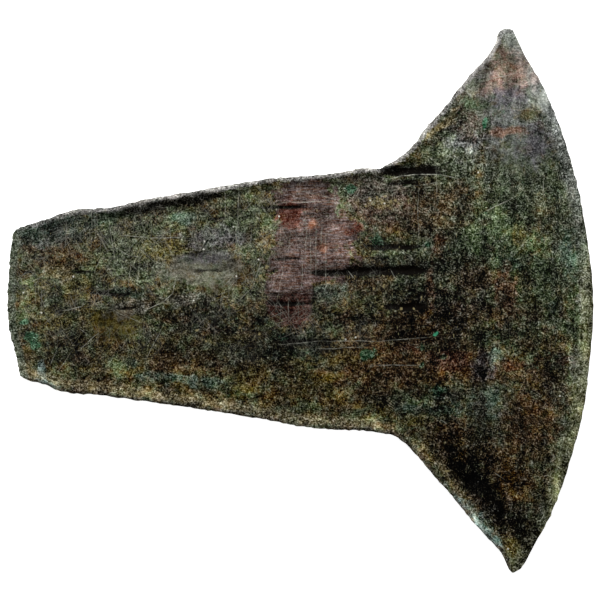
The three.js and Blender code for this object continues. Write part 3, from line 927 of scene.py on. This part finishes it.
CRUMBS = [
    (17.6, 3.1), (20.0, 3.4), (19.3, -1.4), (27.0, -1.9), (23.9, -2.0), (19.5, 23.5), (21.0, 22.8),
    (22.5, 24.0), (17.5, 23.0), (16.6, 24.2), (18.2, 24.6), (20.3, 24.7), (23.4, 23.4), (15.6, 22.6),
    (21.6, 23.6), (-9.5, 14.0), (-8.6, 11.6), (-8.0, 8.0), (-9.6, 6.0), (-10.0, -8.0), (-25.0, -7.0),
    (-22.6, -9.8), (-14.5, -6.4), (10.0, -8.8), (35.0, -40.6), (50.8, 14.4),
]
CRUMB_SIZE = 0.36
CRUMB_TAN = paint(158, 146, 104)
TURQUOISE_CRUMBS = [(32.1, -8.0), (32.5, -7.7)]
TURQUOISE_SIZE = 0.5
TURQUOISE = paint(64, 150, 112)
HAIR_TURNS, HAIR_LENGTH, HAIR_GAP = (22, 88, 47, -48, 116), 8.0, 0.3
FELT_TURNS, FELT_LENGTH, FELT_GAP = (8, 63, -35, -78), 2.6, 0.24


def scratches(rows, wide):
    """Mask of thin lines, given by their ends."""
    lines = []
    for start_x, start_y, end_x, end_y in rows:
        way_x, way_y = end_x - start_x, end_y - start_y
        reach = math.hypot(way_x, way_y) / 2 * 1.15
        turn = math.degrees(math.atan2(way_y, way_x))
        lines.append(((start_x + end_x) / 2, (start_y + end_y) / 2, reach, wide, turn))
    return between(nearest_spot(wavy, lines), 1.2, 0.5) * on_face


def crumbs(places, size, plan):
    """Mask of small round specks."""
    return between(nearest_spot(plan, [(*place, size, size, 0) for place in places]), 1.2, 0.5)


def fibres(turn, length, gap):
    """Noise drawn out in one direction, from 0 to 1 about 0.5."""
    turned = add_node("Mapping", {"vector_type": "TEXTURE"}, {
        "Vector": wavy, "Location": (turn, turn, 0), "Rotation": (0, 0, math.radians(turn)),
        "Scale": (length, gap, 1)})
    return grain(turned, 1.0, 1.0)


bright = scratches(BRIGHT_SCRATCHES, BRIGHT_WIDTH)
faint = scratches(FAINT_SCRATCHES, FAINT_WIDTH) * FAINT_SHARE
broken = 0.35 + between(grain(farther, 1.2), 0.42, 0.58) * 0.65
scratch_mask = maths("MAXIMUM", bright, faint) * broken
speck_mask = crumbs(SPECKS, SPECK_SIZE, still)
crumb_mask = crumbs(CRUMBS, CRUMB_SIZE, chipped)
turquoise_mask = crumbs(TURQUOISE_CRUMBS, TURQUOISE_SIZE, chipped)
hair = 0.0
for turn in HAIR_TURNS:
    hair = maths("MAXIMUM", hair, between(fibres(turn, HAIR_LENGTH, HAIR_GAP), 0.61, 0.70))
felt = 0.0
for turn in FELT_TURNS:
    felt = maths("MAXIMUM", felt, fibres(turn, FELT_LENGTH, FELT_GAP))
handled = between(grain(farther, 10.0), 0.38, 0.6) * between(place_x, 26, 6) * between(place_y, -18, -2)
hair_mask = hair * handled * on_face
print("scratches:", len(BRIGHT_SCRATCHES), "bright and", len(FAINT_SCRATCHES), "faint")

# %% [markdown]
# ## Grain
# Whole zones are made darker or lighter; on the lower horn this paints the shade in its trough and the
# light on its rim's slope. They change the brightness by a power of two, so that it falls as far as it
# rises, and low places are darker than high ones.
# The grains of the crust are half a millimetre and less, some dark as pits, some light. To the eye they
# are as strong on dark ground as on light, so they are added on the eye's scale, a power of the colour,
# and clipped at black. Bare copper and a few rubbed places are smoother.

# %% Zones darker or lighter, painted shade and light among them
# Each is x, y, half length, half width, turn, and how many times it halves or doubles the brightness
# lower_trough and trough_right are painted shade in the lower horn's trough, partly dark patina;
# outer_strip and trough_edge are painted light on its rim's lit slope
SHADES = {
    "below_neck": (28.6, -11.9, 17.9, 14.3, 0, -1.2), "lower_horn": (38.0, -32.0, 10, 12, 0, -1.1),
    "lower_trough": (42.6, -44.6, 15, 3.8, -47, -4.4), "middle_low": (0, -5.3, 14.3, 8.4, 0, -0.9),
    "left_low": (-26.7, -6.4, 12, 6, 0, -1.1), "behind_blade": (36.0, 9.0, 9, 12, 0, -1.4),
    "near_butt": (-51.4, -3.6, 11, 8, 0, -0.1), "lower_side": (17.8, -21.5, 12, 6, 0, -0.9),
    "upper_tip": (47.3, 53.9, 12, 12, 0, 0.5), "upper_neck": (19.0, 26.0, 7, 5, 0, 1.1),
    "lower_neck": (20.0, -31.0, 8, 2.5, -10, 0.7), "green_low": (-11.0, -11.0, 9, 5, 0, -1.5),
    "left_middle": (-46.5, -3.5, 5, 4, 0, -0.8), "left_foot_low": (-53.5, -10.5, 5, 4, 0, -0.6),
    "rim_left": (-10.5, -23.0, 5, 2.5, 0, 0.7), "blade_low": (57.2, -40.6, 7, 15, 0, -0.7),
    "butt_corner": (-67.4, -11.9, 5, 8, 0, -0.8), "left_worn": (-39.5, 7.2, 8, 6, 0, 0.4),
    "blade_middle": (54.9, 0, 8, 14, 0, -0.6), "blade_high": (52.5, 23.9, 8, 8, 0, -0.1),
    "horn_edge": (61.1, 45.8, 10, 3, -57, 1.6), "blade_spot": (46.5, 25.1, 4.5, 4.5, 0, 0.9),
    "copper_right": (9.5, 10.7, 4, 4.5, 0, 1.0), "neck_dark": (25.0, 0.0, 6, 7, 0, -1.4),
    "inside_margin": (60.8, -3.0, 3.6, 13, 0, -1.0), "butt_low": (-58.5, -11.0, 8, 5, 0, -1.4),
    "left_high": (-46.5, 11.5, 4.5, 4, 0, -0.6), "left_top": (-53.0, 18.0, 6, 3, 0, -0.4),
    "left_foot": (-46.0, -11.0, 4, 4, 0, -0.4), "middle_left_low": (-32.3, -10.7, 11, 4, 0, -1.1),
    "rim_low": (-18.0, -18.0, 5, 5, 0, -0.9), "rim_middle": (-2.0, -24.0, 8, 4.5, 0, -1.1),
    "streak": (3.5, -10.7, 6, 3.5, 0, -0.8), "blade_root": (38.0, -10.7, 5, 5, 0, -0.9),
    "outer_strip": (41.5, -52.2, 9.5, 1.6, -48, 2.0), "worn": (-20.0, 4.0, 6, 3, 0, 0.5),
    "violet": (-18.0, 11.5, 5, 3.5, 0, -1.0), "butt_high": (-59.0, 17.0, 9, 4, 12, -1.0),
    "blade_yellow": (53.7, 17.9, 4.5, 4.5, 0, 0.5), "lower_tip": (53.0, -54.0, 3.5, 8, 0, -1.3),
    "trough_right": (46.0, -40.5, 6, 3.4, -45, -2.4), "trough_top": (38.5, -33.0, 5, 3, -40, -0.9),
    "trough_edge": (38.5, -46.0, 5.5, 1.8, -48, 1.3), "tip_end": (53.5, -60.5, 3, 3, 0, -0.6),
    "neck_top": (18.0, 31.5, 7, 2, 0, 0.7), "lower_blade": (60.0, -25.0, 4, 8, 0, -0.6),
    "upper_middle": (-20.0, 22.0, 9, 3, 0, -0.6), "copper_light": (-2.0, 20.0, 7, 9, 0, 0.8),
    "copper_middle": (5.0, 11.0, 9, 8, 0, 0.2), "copper_foot": (-2.0, 4.0, 5, 4, 0, 0.6),
    "copper_end": (-2.5, -2.0, 5, 3.5, 0, -0.5), "copper_dark": (-3.0, 24.5, 4, 3, 0, -0.5),
    "copper_head": (3.0, 26.0, 6, 3.5, 0, 0.6), "upper_rim_neck": (12.0, 27.0, 5, 3, 0, -0.8),
    "middle": (4.0, -3.0, 9, 5, 0, -0.6), "low_left_side": (-51.0, -18.5, 9, 3, -6, -0.7),
    "low_rim": (-30.0, -23.5, 6, 2.5, -6, -0.3), "margin_high": (67.0, 13.0, 3, 7, 0, -0.8),
    "margin_low": (67.0, -18.0, 3, 5, 0, -0.6), "horn_middle": (52.0, 34.5, 13, 4.5, 0, 0.5),
    "horn_pale": (58.8, 46.0, 7, 2.4, -60, 0.4), "horn_left": (40.0, 47.5, 3.0, 2.5, 45, 0.8),
    "horn_light": (38.0, 40.5, 4, 3, 0, -0.7), "neck_high": (39.0, 25.5, 5, 4, 0, 0.8),
    "blade_streak": (49.7, 2.4, 1.4, 10, 0, -0.8), "behind_low": (40.0, -2.0, 5, 10, 0, -0.4),
    "blade_light": (47.5, -12.4, 1.6, 5.5, 0, 1.0), "left_light": (-28.0, 5.5, 14, 4.5, 0, 0.7),
    "margin_light": (67.6, -5.0, 2.0, 18, 0, 0.6), "margin_upper": (64.5, 26.0, 2.2, 9, 15, 0.7),
    "inside_upper": (60.0, 25.0, 2.6, 6, 0, -0.9), "tan_low": (-24.0, -23.5, 5, 2, -6, 0.8),
    "lower_edge": (61.0, -39.5, 2.0, 7, -25, 0.7), "margin_foot": (66.5, -25.0, 2.5, 4, -12, 0.5),
    "butt_left": (-65.0, 8.0, 5, 12, 0, 0.4), "blade_knot": (53.5, 12.0, 4.5, 5, 0, 0.7),
    "horn_olive": (46.5, 42.0, 4, 4, 0, 0.7), "horn_rim": (36.0, 35.0, 6, 2.5, 45, 0.5),
    "low_knot": (40.0, -24.5, 4, 4, 0, -0.7), "blue_grey": (44.5, -24.5, 3.5, 4.5, 0, 0.1),
    "root_low": (39.0, -19.0, 5, 6, 0, -0.7), "green_side": (25.0, -25.0, 4, 3, 0, -0.9),
    "margin_inside": (60.5, -17.0, 3, 12, 0, -0.7), "behind_high": (32.3, 14.5, 4, 7, 0, -0.7),
    "horn_right": (53.5, 39.5, 3.5, 3.5, 0, -0.5), "horn_low": (39.2, 39.4, 3, 3, 0, -0.3),
    "butt_foot": (-61.0, -18.5, 5, 3, 0, 0.7), "left_rim_light": (-38.0, -17.5, 9, 3, 0, 0.6),
    "mid_rim": (10.0, -24.0, 5, 3, 0, 1.2), "red_streak": (32.6, 13.0, 1.6, 3.5, 0, 0.9),
    "brown_streak": (31.0, 4.0, 0.9, 6, 0, 0.7), "knob": (50.5, 62.0, 3.5, 4, 0, 1.0),
    "copper_lilac": (9.5, 12.0, 4, 4, 0, 0.5), "blade_dark_strip": (43.5, -14.5, 2.2, 6, 0, -0.9),
    "blade_brown_strip": (55.0, -5.0, 1.6, 5, 0, -0.7),
}
shade = 0.0
for *spot, stops in SHADES.values():
    shade = shade + between(nearest_spot(wavy, [spot]) + torn * 0.5, 1.5, 0.1) * stops
shade = shade * on_face
print("zones lighter or darker:", len(SHADES))

# %% Grain of the crust
EYE = 2.2
FINE, COARSE, DRAWN, STRIPED, FELT = 1.18, 0.62, 0.18, 0.1, 1.15
SATURATION = 1.18
HIGH_AND_LOW = 5.0
ALL_LIGHTER = -0.27
CREASE_SHADE = 2.2

# Places rubbed smooth, as ellipses
SMOOTH_SPOTS = [
    (-22.0, 7.0, 10.5, 5.0, 0), (-44.0, -6.0, 6.0, 4.0, 0), (50.0, 52.0, 13.0, 13.0, 0),
    (53.0, 36.0, 9.0, 7.0, 0),
]

fine = grain(where, 0.38)
coarse = grain(farther, 1.1, 3.0)
drawn = grain(drawn_out, 0.45)
strips = grain(drawn_down, 2.6)
on_shank = between(place_x, 40, 15)
calm = 1.0 - between(nearest_spot(wavy, SMOOTH_SPOTS), 1.3, 0.6) * 0.6
clouded = ((tone - 0.5) * 6.0 + (grain(farther, 3.0, 3.0) - 0.5) * 3.0) * calm
tonal = clouded + relief_height * HIGH_AND_LOW + shade + ALL_LIGHTER
tonal = tonal + (strips - 0.5) * (1 - on_shank) * 4.6
fibrous = grain(drawn_out, 0.8, 3.0)
crease_mask = between(crease_depth + (fibrous - 0.5) * 0.6 + (coarse - 0.5) * 0.3, 0.06, 0.22)
tonal = tonal - crease_mask * on_face * CREASE_SHADE
colour = add_node("HueSaturation", {}, {"Color": colour, "Saturation": SATURATION})
colour = add_node("VectorMath", {"operation": "SCALE"}, {0: colour, "Scale": 2 ** tonal})
rubbed = between(nearest_spot(ragged, SMOOTH_SPOTS), 1.3, 0.6) * on_face
worn_smooth = maths("MAXIMUM", copper_mask * 0.75, rubbed)
speckle = (fine - 0.5) * FINE + (coarse - 0.5) * COARSE + (felt - 0.6) * FELT
speckle = speckle * (1.15 - on_shank * 0.15 - worn_smooth * 0.6)
speckle = speckle + (drawn - 0.5) * on_shank * DRAWN + (drawn - 0.5) * copper_mask * STRIPED
pale_grain = between(grain(farther, 0.7, 1.5), 0.66, 0.74) * between(grain(where, 8.0), 0.4, 0.6)
speckle = speckle + pale_grain * 0.15
seen = add_node("Gamma", {}, {"Color": colour, "Gamma": 1 / EYE})
speckle = speckle + maths("MINIMUM", tonal + 1.5, 0.0) * 0.045
seen = vectors("MAXIMUM", vectors("ADD", seen, speckle), (0.0, 0.0, 0.0))
colour = add_node("Gamma", {}, {"Color": seen, "Gamma": EYE})
print(f"grain on the eye's scale, a power of {EYE}")

# %% [markdown]
# ## Dirt and scratches on top
# Dirt fills the pits and the creases, and the scratches, crumbs and specks lie over it. A few grains
# get a painted glint, warm or green by turns. Each mask was made further up, where its places are.

# %% Dirt, scratches and painted glints
DIRT = paint(13, 9, 5)
PAINTED_GLINT_WARM, PAINTED_GLINT_GREEN = paint(190, 150, 90), paint(170, 190, 150)

pit_mask = between(grain(elsewhere, 0.8), 0.38, 0.3)
dirt_mask = maths("MAXIMUM", pit_mask * 0.6, crease_mask * 0.5)
colour = mix(dirt_mask, colour, DIRT)
colour = mix(hair_mask * 0.25, colour, SCRATCH_PALE)
colour = mix(scratch_mask * 0.8, colour, SCRATCH_PALE)
colour = mix(crumb_mask * on_face * 0.55, colour, CRUMB_TAN)
colour = mix(turquoise_mask * on_face * 0.85, colour, TURQUOISE)
colour = mix(speck_mask * on_face * 0.9, colour, SPECK_PALE)
# Painted glints: bright warm or green highlights mixed into the base colour of a few grains
painted_glint = between(grain(drawn_down, 0.3, 1.0), 0.70, 0.78) * between(grain(elsewhere, 3.0), 0.45, 0.6)
colour = mix(painted_glint * on_face * 0.45, colour, mix(hue, PAINTED_GLINT_WARM, PAINTED_GLINT_GREEN))
print("so far", len(tree.nodes), "nodes")

# %% Bump, roughness and the shader
height = (fine - 0.5) * 0.16 + (coarse - 0.5) * 0.3 + (drawn - 0.5) * on_shank * 0.05
height = height - scratch_mask * 0.03 - pit_mask * 0.05
bump = add_node("Bump", {}, {"Strength": 1.0, "Distance": MM, "Height": height})
rough = 0.72 - copper_mask * 0.12 - blade_mask * 0.1 + (fine - 0.5) * 0.3 - scratch_mask * 0.2
metal = copper_mask * 0.25 + scratch_mask * 0.3

shader = tree.nodes["Principled BSDF"]
finish = {"Base Color": colour, "Roughness": rough, "Metallic": metal, "Normal": bump}
for name, value in finish.items():
    tree.links.new(value.socket, shader.inputs[name])
shader.inputs["Specular IOR Level"].default_value = 0.03
sheet.data.materials.append(patina)
print("patina of", len(tree.nodes), "nodes")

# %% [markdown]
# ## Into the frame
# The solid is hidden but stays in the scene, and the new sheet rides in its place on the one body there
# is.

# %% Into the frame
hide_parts("hoe_money")
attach(sheet, "root")
boxes = {"cad": cad_box, "visual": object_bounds()}
for name, box in boxes.items():
    print(name, [[round(value / MM, 2) for value in corner] for corner in box])
